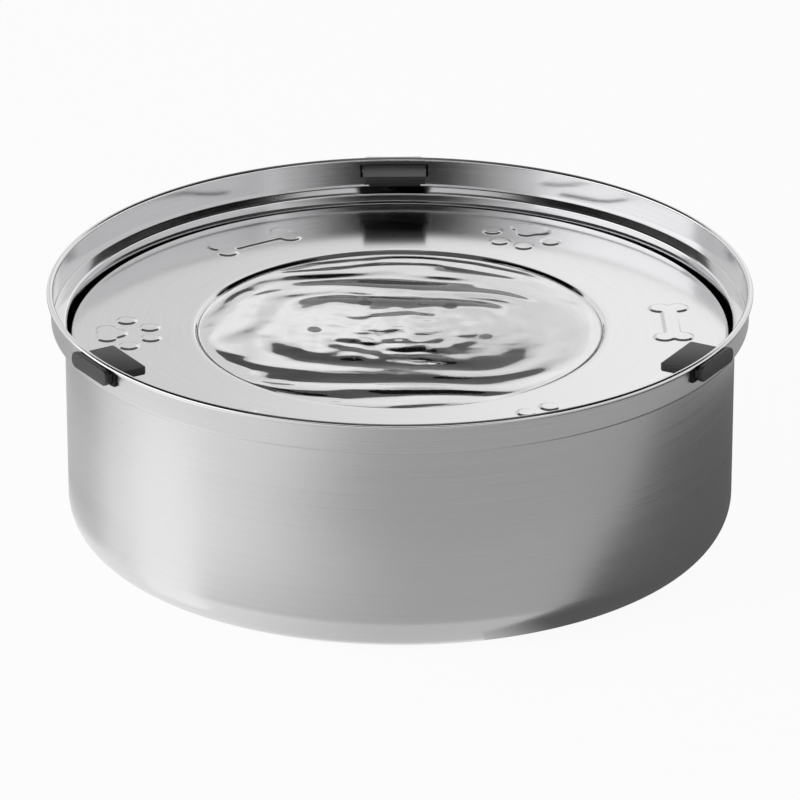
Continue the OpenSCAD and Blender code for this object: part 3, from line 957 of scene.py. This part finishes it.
def seen(tree):
    """One where the eye, a reflection or a refraction meets a surface, and nought elsewhere."""
    path = add_node(tree, "ShaderNodeLightPath").outputs
    value = path["Is Camera Ray"]
    for kind in ("Is Glossy Ray", "Is Transmission Ray"):
        value = add_node(tree, "ShaderNodeMath", {0: value, 1: path[kind]}, operation="MAXIMUM").outputs[0]
    return value


def floor_material():
    """Pale studio paper, brightened where it is seen, which keeps the bowl's shadow; clear from below."""
    material, tree, output = new_material("studio_paper")
    paper = add_node(tree, "ShaderNodeBsdfDiffuse", {"Color": (0.8, 0.8, 0.8, 1)}).outputs[0]
    glow = add_node(tree, "ShaderNodeEmission", {"Color": (1, 1, 1, 1), "Strength": 1}).outputs[0]
    share = add_node(tree, "ShaderNodeMath", {0: seen(tree), 1: FLOOR_GLOW}, operation="MULTIPLY")
    mixed = add_node(tree, "ShaderNodeMixShader", {0: share.outputs[0], 1: paper, 2: glow}).outputs[0]
    below = add_node(tree, "ShaderNodeNewGeometry").outputs["Backfacing"]
    clear = add_node(tree, "ShaderNodeBsdfTransparent").outputs[0]
    sided = add_node(tree, "ShaderNodeMixShader", {0: below, 1: mixed, 2: clear}).outputs[0]
    tree.links.new(sided, output.inputs["Surface"])
    return material


def studio_world():
    """A white room to the eye, with a softer fill for matt surfaces."""
    world = bpy.data.worlds.new("white_room")
    world.use_nodes = True
    tree = world.node_tree
    tree.nodes.clear()
    level = add_node(tree, "ShaderNodeMapRange", {"Value": seen(tree), "To Min": FILL, "To Max": 1})
    sky = add_node(tree, "ShaderNodeBackground", {
        "Color": (1, 1, 1, 1), "Strength": level.outputs["Result"],
    })
    output = add_node(tree, "ShaderNodeOutputWorld")
    tree.links.new(sky.outputs[0], output.inputs["Surface"])
    bpy.context.scene.world = world


def card(name, points, faces, tones, run):
    """A card that only shapes reflections; its tone goes from the first to the last over a run of X."""
    material, tree, output = new_material(name)
    place = add_node(tree, "ShaderNodeTexCoord").outputs["Object"]
    x = add_node(tree, "ShaderNodeSeparateXYZ", {0: place}).outputs["X"]
    tone = add_node(tree, "ShaderNodeMapRange", {
        "Value": x, "From Min": run[0], "From Max": run[1], "To Min": tones[0], "To Max": tones[-1],
    }, interpolation_type="SMOOTHSTEP").outputs["Result"]
    shader = add_node(tree, "ShaderNodeEmission", {"Color": (1, 1, 1, 1), "Strength": tone})
    tree.links.new(shader.outputs[0], output.inputs["Surface"])
    mesh = bpy.data.meshes.new(name)
    mesh.from_pydata(points, [], faces)
    mesh.materials.append(material)
    flag = add_object(name, mesh)
    flag.visible_camera = False
    flag.visible_diffuse = False
    flag.visible_shadow = False


def flat_card(name, corners, *tones, run=(0, 1)):
    """A card of one face, with one tone or two."""
    card(name, corners, [list(range(len(corners)))], tones, run)


def ring_card(name, r_in, r_out, z, *tones, run=(0, 1), shift=0):
    """A flat ring that lies on the floor round the bowl, and may be shifted in X."""
    count = 72
    angles = [radians(360 * i / count) for i in range(count)]
    points = [(r * cos(a) + shift, r * sin(a), z) for r in (r_in, r_out) for a in angles]
    faces = [(i, (i + 1) % count, (i + 1) % count + count, i + count) for i in range(count)]
    card(name, points, faces, tones, run)


def upright_x(x, y_low, y_high, z_low, z_high):
    return [(x, y_low, z_low), (x, y_high, z_low), (x, y_high, z_high), (x, y_low, z_high)]


def upright_y(y, x_low, x_high, z_low, z_high):
    return [(x_low, y, z_low), (x_high, y, z_low), (x_high, y, z_high), (x_low, y, z_high)]


def level_z(z, x_low, x_high, y_low, y_high):
    return [(x_low, y_low, z), (x_high, y_low, z), (x_high, y_high, z), (x_low, y_high, z)]


def at_height(z, *corners):
    """Corners in X and Y, all at one height."""
    return [(x, y, z) for x, y in corners]


def soft_box(name, place, aim, size, power):
    """A rectangular lamp turned towards a point, which no mirror shows."""
    data = bpy.data.lights.new(name, "AREA")
    data.shape = "RECTANGLE"
    data.size, data.size_y = size
    data.energy = power
    lamp = add_object(name, data)
    lamp.location = place
    lamp.rotation_euler = (Vector(aim) - Vector(place)).to_track_quat("-Z", "Y").to_euler()
    lamp.visible_glossy = False


def paper_floor():
    """The wide paper floor, a hair under the pad."""
    mesh = bpy.data.meshes.new("studio_floor")
    mesh.from_pydata(level_z(-PAPER, -FLOOR_HALF, FLOOR_HALF, -FLOOR_HALF, FLOOR_HALF), [], [(0, 1, 2, 3)])
    mesh.materials.append(floor_material())
    add_object("studio_floor", mesh)


def ceiling_flags():
    """A dark ceiling, open at its back corners, which comes down at both sides."""
    front_y, bend_y, back_y, back_x = -0.9, 0.85, 1.4, 0.6
    flat_card("ceiling_flag", at_height(
        CEILING_Z, (-SET_X, front_y), (SET_X, front_y), (SET_X, bend_y), (back_x, back_y),
        (-back_x, back_y), (-SET_X, bend_y)), BLACK)
    # Grey, for the ripples of the water to mirror, with a light patch for those in the middle
    flat_card("water_flag", level_z(CEILING_Z - CARD_GAP, -0.5, 0.5, -0.4, 1.39), 0.11)
    flat_card("overhead_card", level_z(CEILING_Z - 2 * CARD_GAP, -0.13, 0.13, -0.06, 0.24), 0.3)
    # The sides, which start higher towards the back
    outline = [(-1.1, 0.88), (0.6, 0.88), (1.35, 1.0), (1.35, 1.25), (-1.1, CEILING_Z)]
    flat_card("right_flag", [(SET_X, y, z) for y, z in outline], BLACK)
    flat_card("left_flag", [(-SET_X, y, z) for y, z in outline], 2 * BLACK)


def wall_cards():
    """Upright cards in front, at the left and behind."""
    front_y, side_x, back_y, low_z = -1.4, 1.25, 1.6, 0.3
    # Dim front, which the wall beside the back latch mirrors
    flat_card("front_left_flag", upright_y(front_y, -side_x, 0, low_z, 0.9), 0.7, OFF_BLACK,
              run=(-1.2, -0.28))
    flat_card("front_right_flag", upright_y(front_y, 0, side_x, low_z, 0.9), OFF_BLACK, 0.7,
              run=(0.28, 1.2))
    # Bright screen at the left, and a backdrop that gets lighter to the right, for the disk to mirror
    flat_card("left_screen", upright_x(-side_x, -1.1, 0.75, 0.2, 0.8), 1.8)
    flat_card("backdrop", upright_y(back_y, -0.6, 0.6, low_z, CEILING_Z), 0.85, 1.17, run=(-0.13, 0.13))


def floor_cards():
    """Cards for the side wall to mirror, with the floor's light and shade painted on: grey painted shade in
    front, a dark painted shadow of the bowl at the right, painted light at the left.
    """
    # Rings of painted light at the left that fade to painted shade in front and at the right, away from the
    # key light
    ring_card("floor_card", FOOT_R, 0.6, 2 * PAPER, 1.0, 0.47, run=(-0.2, -0.03))
    ring_card("floor_near_card", FOOT_R, 0.235, 3 * PAPER, 1.1, 0.52, run=(-0.19, 0.02))
    ring_card("floor_foot_card", FOOT_R, 0.145, 4 * PAPER, 1.1, 0.72, run=(-0.1, 0))
    # Painted shadow that the bowl casts to the right, away from the key light
    flat_card("floor_painted_shadow_card", at_height(
        5 * PAPER, (0.03, -0.09), (0.033, -0.122), (0.07, -0.122), (0.12, -0.125), (0.152, -0.122),
        (0.245, -0.078), (0.29, -0.05), (0.285, 0.03), (0.242, 0.102), (0.16, 0.176), (0.06, 0.12),
    ), 0.6, 0.13, run=(0.03, 0.062))
    # Painted pool of the key light on the floor at the left front
    flat_card("floor_painted_light_card", at_height(
        5 * PAPER, (-0.101, -0.079), (-0.305, -0.029), (-0.279, -0.161), (-0.077, -0.102)), 1.3)
    flat_card("floor_left_card", at_height(
        3 * PAPER, (-0.113, -0.06), (-0.362, 0.108), (-0.362, 0.5), (-0.1, 0.5), (-0.1, 0.1)), 0.5)
    # Painted contact shadow: a dark line at the bowl's foot, shifted to the right where the shadow falls
    ring_card("foot_card", 0.1, 0.116, 6 * PAPER, 0.05, shift=0.003)


def photo_camera():
    """A camera at the photograph's viewing angle, far off with a long lens."""
    data = bpy.data.cameras.new("photo_camera")
    data.sensor_width = SENSOR_MM
    data.lens = LENS_MM
    data.clip_end = 10 * VIEW_DISTANCE
    camera = add_object("photo_camera", data)
    away = Vector((0, -cos(VIEW_DOWN), sin(VIEW_DOWN)))
    camera.location = Vector((0, 0, VIEW_HEIGHT)) + VIEW_DISTANCE * away
    camera.rotation_euler = (pi / 2 - VIEW_DOWN, 0, 0)
    bpy.context.scene.camera = camera


class BOWL_OT_stage(bpy.types.Operator):
    """Set up the paper floor, the lamp, the flags and the camera"""
    bl_idname = "bowl.stage"
    bl_label = "Studio"

    def execute(self, context):
        paper_floor()
        studio_world()
        soft_box("key_light", place=(-1.3, -0.5, 0.6), aim=(0, 0, 0.05), size=(1.0, 0.9), power=13)
        ceiling_flags()
        wall_cards()
        floor_cards()
        photo_camera()
        context.scene.view_settings.view_transform = "Standard"
        return {"FINISHED"}


# Add-on

OPERATORS = (BOWL_OT_stage, BOWL_OT_shell, BOWL_OT_disk, BOWL_OT_water, BOWL_OT_latches, BOWL_OT_float,
             BOWL_OT_pad)
GROUPS = {
    "bowl_sizes": BowlSizes,
    "disk_sizes": DiskSizes,
    "latch_sizes": LatchSizes,
    "bowl_colours": BowlColours,
}


class BOWL_PT_panel(bpy.types.Panel):
    """The bowl's sizes, colours and making steps"""
    bl_idname = "BOWL_PT_panel"
    bl_label = "No-spill water bowl"
    bl_space_type = "VIEW_3D"
    bl_region_type = "UI"
    bl_category = "Water bowl"

    def draw(self, context):
        for name in GROUPS:
            group = getattr(context.scene, name)
            column = self.layout.column()
            for setting in group.__annotations__:
                column.prop(group, setting)
        for operator in OPERATORS:
            self.layout.operator(operator.bl_idname)


CLASSES = (*GROUPS.values(), *OPERATORS, BOWL_PT_panel)


def register():
    for cls in CLASSES:
        bpy.utils.register_class(cls)
    for name, group in GROUPS.items():
        setattr(bpy.types.Scene, name, PointerProperty(type=group))


def unregister():
    for name in GROUPS:
        delattr(bpy.types.Scene, name)
    for cls in reversed(CLASSES):
        bpy.utils.unregister_class(cls)


def main():
    register()
    bpy.ops.bowl.stage()
    bpy.ops.bowl.shell()
    bpy.ops.bowl.disk()
    bpy.ops.bowl.water()
    bpy.ops.bowl.latches()
    bpy.ops.bowl.float()
    bpy.ops.bowl.pad()


if __name__ == "__main__":
    main()
